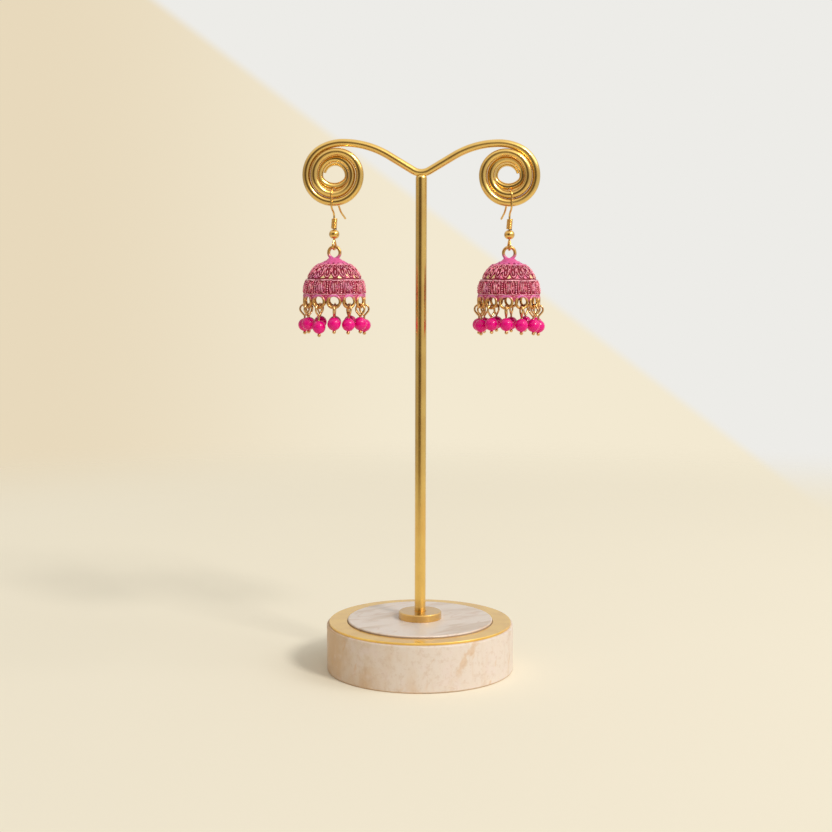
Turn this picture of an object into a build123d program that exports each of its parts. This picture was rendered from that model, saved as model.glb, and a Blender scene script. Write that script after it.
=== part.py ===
from build123d import *
import os
from math import asin, cos, degrees, hypot, radians, sin, sqrt

# A pair of jhumka earrings hanging on a display stand.
# The stand has a round marble foot with a flat metal ring, a post, and one bent rod: it rises to both
# sides from the post's top and ends in two scrolls.  An earring's wire hangs in each scroll.
# Frame: origin at the centre of the foot's underside, +Z up, +X towards the right earring and -Y to
# the front.  Sizes are in millimetres and angles in degrees.

os.makedirs("parts", exist_ok=True)

# ---- driving dimensions: foot ----
foot_d = 60.0
shoulder_h = 14.8
plateau_d = 46.6
plateau_h = 16.25
foot_edge_r = 0.45
ring_od = 58.5
ring_id = 46.8
ring_t = 0.7
ring_edge = 0.12
collar_d = 13.8
collar_t = 2.3
collar_edge = 0.3
post_socket = 11.0          # depth of the post's blind hole below the plateau
post_float = 1.0            # between the post's foot and the hole's bottom
seat_gap = 0.02             # between stacked pieces
bore_gap = 0.05             # all round a piece that stands or runs in a hole

# ---- driving dimensions: post, bent rod and scrolls ----
post_d = 3.55
rod_d = 2.45
turn_gap = 0.08             # between the scroll's outer turns
valley_r = 5.0              # bend over the post
arm_slope = 31.0
arm_straight = 8.8
arm_r = 27.6
peak_z = 167.45             # rod centre at the arm's highest point
eye_x, eye_z = 27.6, 157.45     # centre of the scroll
crown_split = 25.0          # where the crown's flat arc passes into its side arc
outer_turn_r = 8.4
inner_right, inner_left, inner_drop = 4.4, 4.7, 3.4     # innermost turn, from the scroll's centre
tail_right, tail_last = 3.8, 30.0       # where the rod ends, and the turn of its last arc
solder_r = 1.3              # rounding of the post's top

# ---- driving dimensions: ear wire ----
wire_d = 0.62
hook_gap = 0.1              # between the wire and the turn that it hangs on
hook_front_r = 2.1
hook_bend = 55.0            # how far the front leg swings back above the wrap
hook_back_r, hook_back_turn = 2.15, 72.0
hook_drop = 2.4
hook_flare_r, hook_flare = 7.0, 42.0
hook_tip = 2.6
hook_eye_r, hook_neck_r, hook_eye_reach = 1.1, 0.4, 1.5
hook_eye_bottom = 134.05
wrap_d, wrap_wire, wrap_turns, wrap_h = 1.92, 0.44, 9, 3.55
wrap_lean = 4.5             # sideways, as far as the wire inside lets it
ball_w, ball_round, ball_h = 3.3, 3.1, 2.75     # width, height if it were whole, and height between its flats

# ---- driving dimensions: dome casting ----
bail_w, bail_wire = 4.7, 1.0
bail_hole_h = 2.95
hang_gap = 0.05             # between a bail or an eye and the wire that it hangs on
cap_r, cap_z = 8.95, 122.27     # sphere of the cap, and its centre
cap_mid = 45.0              # middle of the cap's arc, from the axis
neck_polar, neck_r, neck_z = 17.0, 1.75, 131.7
bail_neck_r = 0.7
step_z = 125.35             # foot of the cap, on the band's shoulder
step_r = 8.75
band_r = 9.66
band_top, band_straight = 124.95, 121.6
rim_t, rim_z = 0.6, 119.8
dome_wall = 0.9
relief_h, relief_w = 0.3, 0.45
relief_root = 0.72          # how deep the ornament is let into the wall
petal_count, petal_polar, petal_w, petal_h = 18, 50.5, 2.15, 4.2
rib_count, rib_h = 36, 3.3
hole_count, hole_polar, hole_d = 16, 31.0, 0.65
web_w, web_h, web_t = 2.4, 1.7, 0.6
sectors = 12                # rings and drops round the rim
ring_r = 9.4                # circle of the cast rings under the rim
ring_w, ring_tube = 4.7, 0.85
ring_bottom = 115.9

# ---- driving dimensions: bead drops ----
bead_d = 4.1
bead_bore = 0.74
pin_gap = 0.06              # between an eye and the cast ring that it hangs on
pin_eye_r, pin_neck_r, pin_eye_reach = 1.42, 0.35, 1.62
nub_d = 1.15

# side, place in X, turn of the ear wire, turn of the dome
EARRINGS = (
    ("left", -27.3, -22.0, -13.0),
    ("right", 27.7, 15.0, 6.5),
)

# One row a drop, from the first ring right of the dome's front and on towards +X: twist of its eye, lean
# outwards, lean sideways, and how far its bead hangs below the shortest.
DROPS = {
    "left": (
        (4, 0.0, 0.5, 0.0), (-6, 0.5, -3.0, 0.25), (8, 0.5, -1.0, 0.1), (0, 0.0, 0.0, 0.75),
        (-10, 0.5, 1.0, 0.3), (12, 1.5, -1.0, 0.0), (-4, 0.0, 1.0, 0.2), (9, 1.0, 0.0, 0.1),
        (-12, 0.0, 1.5, 0.35), (0, 0.0, 0.0, 0.6), (10, 0.0, 2.0, 0.1), (-8, 0.5, 1.0, 1.05),
    ),
    "right": (
        (-9, 0.5, 0.0, 0.25), (11, 0.0, 1.0, 0.45), (0, 0.0, 0.0, 0.85), (-7, 1.0, -1.0, 0.2),
        (5, 0.0, 1.0, 0.0), (-12, 1.0, 0.0, 0.3), (8, 0.5, -1.0, 0.1), (-5, 0.0, 1.0, 0.4),
        (0, 0.0, 0.0, 0.5), (12, 0.5, 0.0, 0.65), (-10, 0.0, 1.5, 0.0), (14, 0.5, 1.5, 0.0),
    ),
}


def oval_radii(width, height, split=45.0):
    """Radii of a quarter oval's two arcs: the flat one, that turns by split, then the one at its side."""
    s, c = sin(radians(split)), cos(radians(split))
    flat = (width * c - height * (1 - s)) / (s + c - 1)
    side = (height * s - width * (1 - c)) / (s + c - 1)
    return flat, side


def save(builder, node):
    """Write one finished piece to the file that carries its node's name."""
    builder.part.label = node
    export_step(builder.part, f"parts/{node}.step")


# ---- marble foot ----
with BuildPart() as marble_base:
    with BuildSketch(Plane.XZ):
        Rectangle(foot_d / 2, shoulder_h, align=(Align.MIN, Align.MIN))
        Rectangle(plateau_d / 2, plateau_h, align=(Align.MIN, Align.MIN))
    revolve(axis=Axis.Z)
    fillet(marble_base.edges().filter_by(GeomType.CIRCLE).group_by(SortBy.RADIUS)[-1], foot_edge_r)
    fillet(marble_base.edges().filter_by(GeomType.CIRCLE).sort_by(Axis.Z)[-1], foot_edge_r)
    with Locations((0, 0, plateau_h)):
        Hole(post_d / 2 + bore_gap, depth=post_socket)
save(marble_base, "marble_base")

# ---- flat metal ring on the shoulder ----
ring_bed = shoulder_h + seat_gap
with BuildPart() as base_ring:
    with BuildSketch(Plane.XY.offset(ring_bed)):
        Circle(ring_od / 2)
        Circle(ring_id / 2, mode=Mode.SUBTRACT)
    extrude(amount=ring_t)
    chamfer(base_ring.faces().sort_by(Axis.Z)[-1].edges(), ring_edge)
save(base_ring, "base_ring")

# ---- collar round the post's foot ----
collar_z = plateau_h + seat_gap
with BuildPart() as post_collar:
    with BuildSketch(Plane.XY.offset(collar_z)):
        Circle(collar_d / 2)
        Circle(post_d / 2 + bore_gap, mode=Mode.SUBTRACT)
    extrude(amount=collar_t)
    chamfer(post_collar.faces().sort_by(Axis.Z)[-1].edges(), collar_edge)
save(post_collar, "post_collar")

# ---- post and bent rod, soldered into one ----
rod_r = rod_d / 2
middle_turn_r = outer_turn_r - rod_d - turn_gap
arm_rise = arm_straight * sin(radians(arm_slope)) + (valley_r + arm_r) * (1 - cos(radians(arm_slope)))
arm_reach = arm_straight * cos(radians(arm_slope)) + (valley_r + arm_r) * sin(radians(arm_slope))
valley_z = peak_z - arm_rise
crown_r = oval_radii(eye_x + outer_turn_r - arm_reach, peak_z - eye_z, crown_split)

# The right scroll in half turns, alternately under and over its centre: how far each goes across, how
# far back it goes meanwhile, its height as a share of half its width, and the turn of its last arc.
SCROLL = (
    (-2 * outer_turn_r, -0.5, 1.0, 45.0),
    (outer_turn_r + middle_turn_r, -0.3, 1.0, 45.0),
    (-2 * middle_turn_r, 1.6, 1.0, 45.0),
    (middle_turn_r + inner_right, 1.05, 1.0, 45.0),
    (-inner_right - inner_left, 1.3, 2 * inner_drop / (inner_right + inner_left), 45.0),
    (inner_left + tail_right, 1.6, 1.0, tail_last),
)

with BuildLine(Plane.XZ) as arm:
    valley = JernArc((0, valley_z), (1, 0), valley_r, arm_slope)
    rise = Line(valley @ 1, (valley @ 1) + (valley % 1) * arm_straight)
    climb = JernArc(rise @ 1, rise % 1, arm_r, -arm_slope)
    crown = JernArc(climb @ 1, climb % 1, crown_r[0], -crown_split)
    crown_side = JernArc(crown @ 1, crown % 1, crown_r[1], crown_split - 90)


def half_turn(start, tangent, across, back, share, last):
    """Oval half turn of the scroll in an upright plane that goes across and back together."""
    along = Vector(across, back, 0) * (1 if across > 0 else -1)
    half = hypot(across, back) / 2
    flat, side = oval_radii(half, half * share)
    with BuildLine(Plane(origin=start, x_dir=along, z_dir=(along.Y, -along.X, 0))) as run:
        for radius, turn in ((side, 45), (flat, 45), (flat, 45), (side, last)):
            arc = JernArc(start, tangent, radius, -turn)
            start = arc @ 1
            tangent = arc % 1
    return run.edges(), start, tangent


with BuildPart() as rod_half:
    with BuildLine() as rod_line:
        add(arm.edges())
        end, heading = crown_side @ 1, crown_side % 1
        for row in SCROLL:
            turn_edges, end, heading = half_turn(end, heading, *row)
            add(turn_edges)
    with BuildSketch(Plane(origin=(0, 0, valley_z), x_dir=(0, 1, 0), z_dir=(1, 0, 0))):
        Circle(rod_r)
    sweep(path=rod_line.wire())

with BuildPart() as stand_frame:
    post_foot = plateau_h - post_socket + post_float
    post_top = valley_z - rod_r / 3
    with BuildSketch(Plane.XY.offset(post_foot)):
        Circle(post_d / 2)
    extrude(amount=post_top - post_foot)
    fillet(stand_frame.edges().sort_by(Axis.Z)[-1], solder_r)
    add(rod_half.part)
    mirror(about=Plane.YZ)
save(stand_frame, "stand_frame")


# ---- ear wire: eye, stem, front leg, arch over the scroll's middle turn, and tail ----
wire_r = wire_d / 2


def half_pear(plane, big_r, small_r, reach, wire_radius):
    """Right half of a pear-shaped wire eye. The plane stands at the big arc's centre, Y to the small."""
    slope = degrees(asin((big_r - small_r) / reach))
    with BuildPart() as half:
        with BuildLine(plane) as loop:
            big = JernArc((0, -big_r), (1, 0), big_r, 90 + slope)
            side = Line(big @ 1, (big @ 1) + (big % 1) * sqrt(reach ** 2 - (big_r - small_r) ** 2))
            JernArc(side @ 1, side % 1, small_r, 90 - slope)
        foot = plane.from_local_coords(Vector(0, -big_r))
        with BuildSketch(Plane(origin=foot, x_dir=plane.z_dir, z_dir=plane.x_dir)):
            Circle(wire_radius)
        sweep(path=loop.wire())
    return half.part


eye_centre_z = hook_eye_bottom + wire_r + hook_eye_r
ball_z = eye_centre_z + hook_eye_reach + hook_neck_r + wire_r + bore_gap + ball_h / 2
wrap_dip = (wrap_d - wrap_wire) / 2 * sin(radians(wrap_lean))
wrap_z = ball_z + ball_h / 2 + bore_gap + wrap_dip
apex_z = eye_z - middle_turn_r + rod_r + hook_gap + wire_r

# the front leg swings back by hook_bend to meet the wrap's axis just above the wrap
leg_bend_r = hook_front_r / (2 - 2 * cos(radians(hook_bend)))
leg_fall = 2 * leg_bend_r * sin(radians(hook_bend))
leg_straight = apex_z - hook_front_r - leg_fall - wrap_z - wrap_h - wire_r

half_hook_eye = half_pear(
    Plane(origin=(0, 0, eye_centre_z), x_dir=(0, 1, 0), z_dir=(1, 0, 0)),
    hook_eye_r, hook_neck_r, hook_eye_reach, wire_r,
)

with BuildPart() as hook_master:
    with BuildLine(Plane.YZ) as front_leg:
        shoulder = JernArc((0, apex_z), (-1, 0), hook_front_r, 90)
        leg = Line(shoulder @ 1, (shoulder @ 1) + (shoulder % 1) * leg_straight)
        swing = JernArc(leg @ 1, leg % 1, leg_bend_r, hook_bend)
        back = JernArc(swing @ 1, swing % 1, leg_bend_r, -hook_bend)
        Line(back @ 1, (0, eye_centre_z + hook_eye_reach + hook_neck_r))
    with BuildSketch(Plane(origin=(0, 0, apex_z), x_dir=(1, 0, 0), z_dir=(0, -1, 0))):
        Circle(wire_r)
    sweep(path=front_leg.wire())
    with BuildLine(Plane.YZ) as tail:
        fall = JernArc((0, apex_z), (1, 0), hook_back_r, -hook_back_turn)
        drop = Line(fall @ 1, (fall @ 1) + (fall % 1) * hook_drop)
        flare = JernArc(drop @ 1, drop % 1, hook_flare_r, hook_flare)
        tip = Line(flare @ 1, (flare @ 1) + (flare % 1) * hook_tip)
    with BuildSketch(Plane(origin=(0, 0, apex_z), x_dir=(1, 0, 0), z_dir=(0, 1, 0))):
        Circle(wire_r)
    sweep(path=tail.wire())
    with Locations(tip @ 1):
        Sphere(wire_r)
    add(half_hook_eye)
    mirror(half_hook_eye, about=Plane.XZ)

with BuildPart() as wrap_master:
    with BuildSketch(Plane.XZ):
        for k in range(wrap_turns):
            height = (k / (wrap_turns - 1) - 0.5) * (wrap_h - wrap_wire)
            with Locations(((wrap_d - wrap_wire) / 2, height)):
                Circle(wrap_wire / 2)
    revolve(axis=Axis.Z)

with BuildPart() as ball_master:
    with BuildSketch(Plane.XZ):
        Ellipse(ball_w / 2, ball_round / 2)
        Rectangle(ball_w / 2, ball_h, align=(Align.MIN, Align.CENTER), mode=Mode.INTERSECT)
    revolve(axis=Axis.Z)
    Cylinder(wire_r + bore_gap, ball_h, mode=Mode.SUBTRACT)

# ---- dome: one casting of bail, neck, cap, band, rim and rings ----
cap_foot_r = sqrt(cap_r ** 2 - (step_z - cap_z) ** 2)
bail_r = bail_wire / 2
bail_big_r = (bail_w - bail_wire) / 2
bail_hole_top = hook_eye_bottom + wire_d + hang_gap
bail_centre_z = bail_hole_top + bail_r - bail_big_r
bail_reach = bail_hole_h + bail_wire - bail_big_r - bail_neck_r


def dome_form(grow):
    """Solid form of the dome's outside, each wall moved out by grow."""
    with BuildPart() as form:
        with BuildSketch(Plane.XZ):
            with BuildLine():
                rim = Polyline((0, rim_z), (band_r + grow, rim_z), (band_r + grow, band_straight))
                barrel = TangentArc(rim @ 1, (step_r + grow, band_top), tangent=(0, 1))
                ledge = Line(barrel @ 1, (cap_foot_r + grow, step_z))
                mid = radians(cap_mid)
                cap_end = radians(neck_polar)
                reach = cap_r + grow
                cap = ThreePointArc(
                    ledge @ 1,
                    (reach * sin(mid), cap_z + reach * cos(mid)),
                    (reach * sin(cap_end), cap_z + reach * cos(cap_end)),
                )
                Polyline(cap @ 1, (neck_r + grow, neck_z), (0, neck_z), (0, rim_z))
            make_face()
        revolve(axis=Axis.Z)
    return form.part


def cap_plane(polar, turn, sink=0.0):
    """Plane square to the cap, sunk below its skin: Z outwards, Y up the cap."""
    p, t = radians(polar), radians(turn)
    out = Vector(sin(p) * cos(t), sin(p) * sin(t), cos(p))
    return Plane(origin=Vector(0, 0, cap_z) + out * (cap_r - sink), x_dir=(-sin(t), cos(t), 0), z_dir=out)


def wall_plane(radius, height, turn):
    """Upright plane that faces outwards at a radius: X along the rim, Y up."""
    t = radians(turn)
    out = Vector(cos(t), sin(t), 0)
    return Plane(origin=(radius * out.X, radius * out.Y, height), x_dir=(-sin(t), cos(t), 0), z_dir=out)


skin = dome_form(relief_h)

with BuildPart() as petals:
    petal_turns = [360 * k / petal_count for k in range(petal_count)]
    with BuildSketch(*[cap_plane(petal_polar, turn, relief_root) for turn in petal_turns]):
        Ellipse(petal_w / 2, petal_h / 2)
        Ellipse(petal_w / 2 - relief_w, petal_h / 2 - relief_w, mode=Mode.SUBTRACT)
    extrude(amount=relief_root + 2 * relief_h)
    add(skin, mode=Mode.INTERSECT)

with BuildPart() as ribs:
    rib_z = (band_top + rim_z + rim_t) / 2
    rib_turns = [360 * k / rib_count for k in range(rib_count)]
    with BuildSketch(*[wall_plane(step_r, rib_z, turn) for turn in rib_turns]):
        SlotOverall(rib_h, relief_w, rotation=90)
    extrude(amount=2 * dome_wall)
    add(skin, mode=Mode.INTERSECT)

half_bail = half_pear(
    Plane(origin=(0, 0, bail_centre_z), x_dir=(1, 0, 0), z_dir=(0, 1, 0)),
    bail_big_r, bail_neck_r, bail_reach, bail_r,
)
inner_r = band_r - dome_wall
inner_cap = cap_r - dome_wall
brow_r = step_r - dome_wall
brow_z = cap_z + sqrt(inner_cap ** 2 - brow_r ** 2)
front = -90
ring_turns = [front + 360 * (k + 0.5) / sectors for k in range(sectors)]
web_turns = [front + 360 * k / sectors for k in range(sectors)]
hole_turns = [front + 360 * (k + 0.5) / hole_count for k in range(hole_count)]
ring_z = ring_bottom + ring_w / 2
mouth_z = rim_z - rim_t     # the hollow is cut from below the rim

with BuildPart() as dome_master:
    add(dome_form(0))
    with BuildSketch(Plane.XZ):
        with BuildLine():
            wall = Polyline((0, mouth_z), (inner_r, mouth_z), (inner_r, band_straight))
            inside = TangentArc(wall @ 1, (brow_r, brow_z), tangent=(0, 1))
            RadiusArc(inside @ 1, (0, cap_z + inner_cap), -inner_cap)
            Line((0, cap_z + inner_cap), (0, mouth_z))
        make_face()
    revolve(axis=Axis.Z, mode=Mode.SUBTRACT)
    with Locations(*[wall_plane(ring_r, ring_z, turn) for turn in ring_turns]):
        Torus((ring_w - ring_tube) / 2, ring_tube / 2)
    with BuildSketch(*[wall_plane(ring_r, rim_z + rim_t / 2, turn) for turn in web_turns]):
        Polygon((-web_w / 2, 0), (0, -web_h), (web_w / 2, 0), align=None)
    extrude(amount=web_t / 2, both=True)
    add(half_bail)
    mirror(half_bail, about=Plane.YZ)
    add(petals.part)
    add(ribs.part)
    with Locations(*[cap_plane(hole_polar, turn) for turn in hole_turns]):
        Cylinder(hole_d / 2, 4 * dome_wall, mode=Mode.SUBTRACT)

# ---- bead drops: each hangs by its eye in a cast ring; heights are below the ring's wire ----
bead_r = bead_d / 2
bore_r = bead_bore / 2
nub_r = nub_d / 2
pivot_z = ring_bottom + ring_tube / 2
pin_eye_centre = ring_tube / 2 + pin_gap + wire_r - pin_eye_r
pin_neck_foot = pin_eye_centre - pin_eye_reach - pin_neck_r
shortest_bead = pin_neck_foot - wire_r - bore_gap - bead_r
nub_fall = sqrt(bead_r ** 2 - bore_r ** 2) + sqrt(nub_r ** 2 - bore_r ** 2) + seat_gap
half_eye = half_pear(
    Plane(origin=(0, 0, pin_eye_centre), x_dir=(1, 0, 0), z_dir=(0, 1, 0)),
    pin_eye_r, pin_neck_r, pin_eye_reach, wire_r,
)

with BuildPart() as eye_master:
    add(half_eye)
    mirror(half_eye, about=Plane.YZ)

with BuildPart() as bead_master:
    Sphere(bead_r)
    Cylinder(bore_r, bead_d, mode=Mode.SUBTRACT)


def head_pin(drop):
    """One pin, its eye round the ring's wire at the origin, that holds a bead by its nub."""
    nub_z = shortest_bead - drop - nub_fall
    with BuildPart() as pin:
        add(eye_master.part)
        with Locations((0, 0, nub_z)):
            Cylinder(wire_r, pin_neck_foot - nub_z, align=(Align.CENTER, Align.CENTER, Align.MIN))
            Sphere(nub_r)
    return pin.part


def drop_place(index, twist, lean_out, lean_side):
    """Where a drop hangs on the dome: +X outwards, and turned about the ring's wire."""
    at_ring = Location((0, 0, 0), (0, 0, ring_turns[index])) * Location((ring_r, 0, pivot_z))
    return at_ring * Location((0, 0, 0), (lean_side, -lean_out, 0)) * Location((0, 0, 0), (0, 0, twist))


# ---- both earrings, each hung in its scroll ----
for side, place_x, hook_turn, dome_turn in EARRINGS:
    hook_place = Location((place_x, 0, 0), (0, 0, hook_turn))
    dome_place = Location((place_x, 0, 0), (0, 0, dome_turn))
    wrap_place = Location((place_x, 0, wrap_z + wrap_h / 2), (0, wrap_lean, 0))

    with BuildPart() as ear_hook:
        add(hook_master.part.moved(hook_place))
    save(ear_hook, f"{side}_ear_hook")

    with BuildPart() as hook_wrap:
        add(wrap_master.part.moved(wrap_place))
    save(hook_wrap, f"{side}_hook_wrap")

    with BuildPart() as hook_ball:
        add(ball_master.part.moved(hook_place * Location((0, 0, ball_z))))
    save(hook_ball, f"{side}_hook_ball")

    with BuildPart() as dome:
        add(dome_master.part.moved(dome_place))
    save(dome, f"{side}_dome")

    with BuildPart() as head_pins:
        for index, (twist, lean_out, lean_side, drop) in enumerate(DROPS[side]):
            place = dome_place * drop_place(index, twist, lean_out, lean_side)
            add(head_pin(drop).moved(place))
    save(head_pins, f"{side}_head_pins")

    for index, (twist, lean_out, lean_side, drop) in enumerate(DROPS[side]):
        place = dome_place * drop_place(index, twist, lean_out, lean_side)
        with BuildPart() as bead:
            add(bead_master.part.moved(place * Location((0, 0, shortest_bead - drop))))
        save(bead, f"{side}_bead_{index + 1:02d}")
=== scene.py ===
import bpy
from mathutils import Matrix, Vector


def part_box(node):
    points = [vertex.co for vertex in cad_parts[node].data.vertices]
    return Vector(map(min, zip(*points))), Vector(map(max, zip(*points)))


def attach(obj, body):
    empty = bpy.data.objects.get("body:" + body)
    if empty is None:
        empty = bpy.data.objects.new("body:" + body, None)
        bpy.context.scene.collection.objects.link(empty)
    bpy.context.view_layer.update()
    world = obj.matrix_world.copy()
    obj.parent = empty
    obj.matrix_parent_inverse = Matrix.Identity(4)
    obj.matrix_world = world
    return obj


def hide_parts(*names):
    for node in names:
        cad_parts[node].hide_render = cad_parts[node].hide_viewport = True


bl_info = {
    "name": "Jhumka earrings on a display stand",
    "version": (1, 0, 0),
    "blender": (4, 5, 0),
    "location": "3D View > Sidebar > Jhumkas",
    "description": "Dresses a pair of jhumka earrings and their display stand in enamel, gold and marble",
    "category": "Object",
}

from math import acos, atan2, ceil, cos, degrees, hypot, pi, radians, sin

import bmesh
import bpy
from bpy.props import FloatProperty, FloatVectorProperty, IntProperty, PointerProperty
from mathutils import Matrix, Vector, noise

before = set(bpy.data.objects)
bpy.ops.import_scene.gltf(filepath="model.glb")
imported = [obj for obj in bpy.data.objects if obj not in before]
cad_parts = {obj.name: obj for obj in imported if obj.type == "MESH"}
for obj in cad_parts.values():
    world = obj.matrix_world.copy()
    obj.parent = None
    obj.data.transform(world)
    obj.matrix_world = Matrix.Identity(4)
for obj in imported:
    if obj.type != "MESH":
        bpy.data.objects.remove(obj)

MM = 0.001
SIDES = ("left", "right")
UP = Vector((0, 0, 1))

# ---- sizes of the source, in millimetres and degrees, some of them worked out there ----
# marble foot
SHOULDER_Z, PLATEAU_R, PLATEAU_Z = 14.8, 23.3, 16.25

# post and bent rod
POST_D, POST_FOOT, SOLDER_R = 3.55, 6.25, 1.3
ROD_D, VALLEY_R, ARM_SLOPE, ARM_STRAIGHT, ARM_R = 2.45, 5.0, 31.0, 8.8, 27.6
PEAK_Z, EYE_X, EYE_Z, CROWN_SPLIT, OUTER_TURN_R = 167.45, 27.6, 157.45, 25.0, 8.4

# the right scroll's half turns: how far each goes across and back, its height as a share of half its width,
# and the turn of its last arc
SCROLL = (
    (-16.8, -0.5, 1.0, 45), (14.27, -0.3, 1.0, 45), (-11.74, 1.6, 1.0, 45),
    (10.27, 1.05, 1.0, 45), (-9.1, 1.3, 6.8 / 9.1, 45), (8.5, 1.6, 1.0, 30),
)

# wound wire
WRAP_D, WRAP_H, WRAP_Z, WRAP_LEAN = 1.92, 3.55, 140.578, 4.5

# bell: a spherical cap over a band, whose upper part is an arc of radius BARREL_R about BARREL_MID in X
DOME_TURN = {"left": -13.0, "right": 6.5}
WALL = 0.9
CAP_R, CAP_Z = 8.95, 122.27
CAP_FOOT_R, CAP_FOOT_Z = 8.403, 125.35
CAP_FOOT_POLAR = degrees(acos((CAP_FOOT_Z - CAP_Z) / CAP_R))
NECK_POLAR, NECK_R, NECK_Z = 17.0, 1.75, 131.7
STEP_R, BAND_R = 8.75, 9.66
BAND_TOP, BAND_STRAIGHT, RIM_Z = 124.95, 121.6, 119.8
BARREL_R, BARREL_MID = 6.62, 3.04
HOLES = 16

# cast rings and webs under the rim, and the bail on top
SECTORS = 12
RING_R, RING_W, RING_TUBE, RING_Z = 9.4, 4.7, 0.85, 118.25
WEB_W, WEB_H, WEB_T = 2.4, 1.7, 0.6
BAIL_BIG, BAIL_SMALL, BAIL_REACH, BAIL_WIRE, BAIL_Z = 1.85, 0.7, 1.4, 1.0, 133.37

# ---- the looks' own sizes, in millimetres and degrees ----
# pierced holes, and the rails above and below them, by their angle from the cap's axis
HOLE_POLAR, HOLE_D = 29.0, 0.95
UPPER_RAIL_POLAR, LOWER_RAIL_POLAR = 21.0, 34.0

# softened edges of the rod's ends and of the webs
TIP_BEVEL, WEB_BEVEL = 0.14, 0.12

# seed of the cast pieces' unevenness; without one, the noise would differ from run to run
CAST_SEED = 1

# fineness of the meshes: sides of rod and post, steps round a bell, and the most degrees in a bend's step
ROD_SIDES, POST_SIDES, BELL_STEPS, BEND_STEP = 40, 64, 144, 2.2


def paint(red, green, blue):
    """A display colour from 0 to 255 as the linear colour that the shaders take."""
    shares = (c / 255 for c in (red, green, blue))
    return tuple(c / 12.92 if c <= 10 / 255 else ((c + 0.055) / 1.055) ** 2.4 for c in shares)


def colour(name, description, default):
    return FloatVectorProperty(
        name=name, description=description, default=default, min=0, max=1, subtype="COLOR"
    )


def length(name, description, default, low, high):
    return FloatProperty(
        name=name, description=description, default=default, min=low, max=high,
        subtype="DISTANCE", unit="LENGTH",
    )


class JewelSizes(bpy.types.PropertyGroup):
    """Sizes and counts of the ornament that the looks add"""

    relief: length("Relief", "Height of the ornament above the bell's skin", 0.0003, 0.0001, 0.0005)
    ridge: length("Ridge", "Thickness of the ornament's wires", 0.00034, 0.0002, 0.0006)
    petals: IntProperty(name="Petals", description="Petals round the cap", default=20, min=8, max=30)
    panels: IntProperty(name="Panels", description="Repeats of the band's pattern", default=14, min=8, max=30)
    unevenness: length("Unevenness", "How far the cast ornament strays", 0.0001, 0.0, 0.0002)
    wrap_wire: length("Wrap wire", "Thickness of the wire wound above the ball", 0.00044, 0.0002, 0.0006)
    wrap_turns: IntProperty(name="Wrap turns", description="Turns of wound wire", default=7, min=3, max=12)


class JewelColours(bpy.types.PropertyGroup):
    """Colours of the finishes and of the room"""

    stand_gold: colour("Stand gold", "Polished gold of the rod", paint(236, 194, 92))
    ring_gold: colour("Ring gold", "Satin gold of the flat ring", paint(248, 204, 92))
    collar_gold: colour("Collar gold", "Satin gold of the collar at the post's foot", paint(226, 180, 88))
    wire_gold: colour("Wire gold", "Bright gold of the ear wires", paint(234, 184, 78))
    cast_gold: colour("Cast gold", "Gold of the cast rings and the pins", paint(226, 178, 108))
    enamel: colour("Enamel", "Rose of the bells", paint(248, 76, 126))
    enamel_magenta: colour("Magenta enamel", "Pink of the neck and the rim", paint(214, 98, 168))
    enamel_coral: colour("Coral enamel", "Red that shows through the rose", paint(226, 68, 80))
    # painted highlight: the pale pink on the ornament's tops stands both for wear and for the sheen of light
    # on them
    enamel_wear_and_sheen: colour("Worn enamel", "Pink on the ornament's worn tops", paint(255, 190, 206))
    # painted shade: the wine of the hollows and of the bell's inside is dark for the shade there as well as
    # for the enamel
    enamel_wine_and_shade: colour("Deep enamel", "Wine in the ornament's hollows", paint(132, 5, 44))
    gilt: colour("Gilt", "Bare metal on the ornament", paint(242, 214, 160))
    bead: colour("Bead", "Pink of the beads", paint(230, 3, 128))
    bead_cloud: colour("Bead cloud", "Lighter pink that clouds the beads", paint(230, 14, 134))
    bead_grain: colour("Bead grain", "Darker pink of the beads' fine grain", paint(186, 4, 88))
    marble: colour("Marble", "Ground colour of the foot", paint(222, 209, 198))
    # the tan of the patches and streaks; on the left side it also stands for painted shade
    marble_tan_and_shade: colour("Marble patch", "Tan patches of the foot", paint(207, 174, 138))
    marble_top: colour("Marble top", "Cool colour of the foot's polished top", paint(224, 212, 203))
    vein: colour("Marble vein", "Colour of the foot's veins", paint(206, 160, 104))
    marble_cloud: colour("Marble cloud", "Pale clouds on the foot's side", paint(224, 208, 202))
    marble_grain: colour("Marble grain", "Darker grain of the polished top", paint(198, 178, 160))
    marble_thread: colour("Marble thread", "Fine threads in the polished top", paint(190, 152, 122))
    # painted shade: brown on the raised top's side just above the ring, where the ring's edge shades it
    marble_seat_shade: colour("Marble seat", "Brown of the raised top's side, above the ring", paint(124, 88, 58))
    marble_speck: colour("Marble speck", "Specks, mostly on the foot's side", paint(198, 170, 146))
    floor: colour("Floor", "Colour of the floor", paint(244, 237, 219))
    # painted shade: the cream wall at the left is darker, for the room's light falling off there
    shaded_wall_left: colour("Wall, left", "Cream wall at the left", paint(232, 217, 188))
    wall_right: colour("Wall, right", "Cream wall further right", paint(243, 233, 209))
    grey_wall: colour("Grey wall", "Pale grey wall across the upper right", paint(237, 236, 232))


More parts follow.
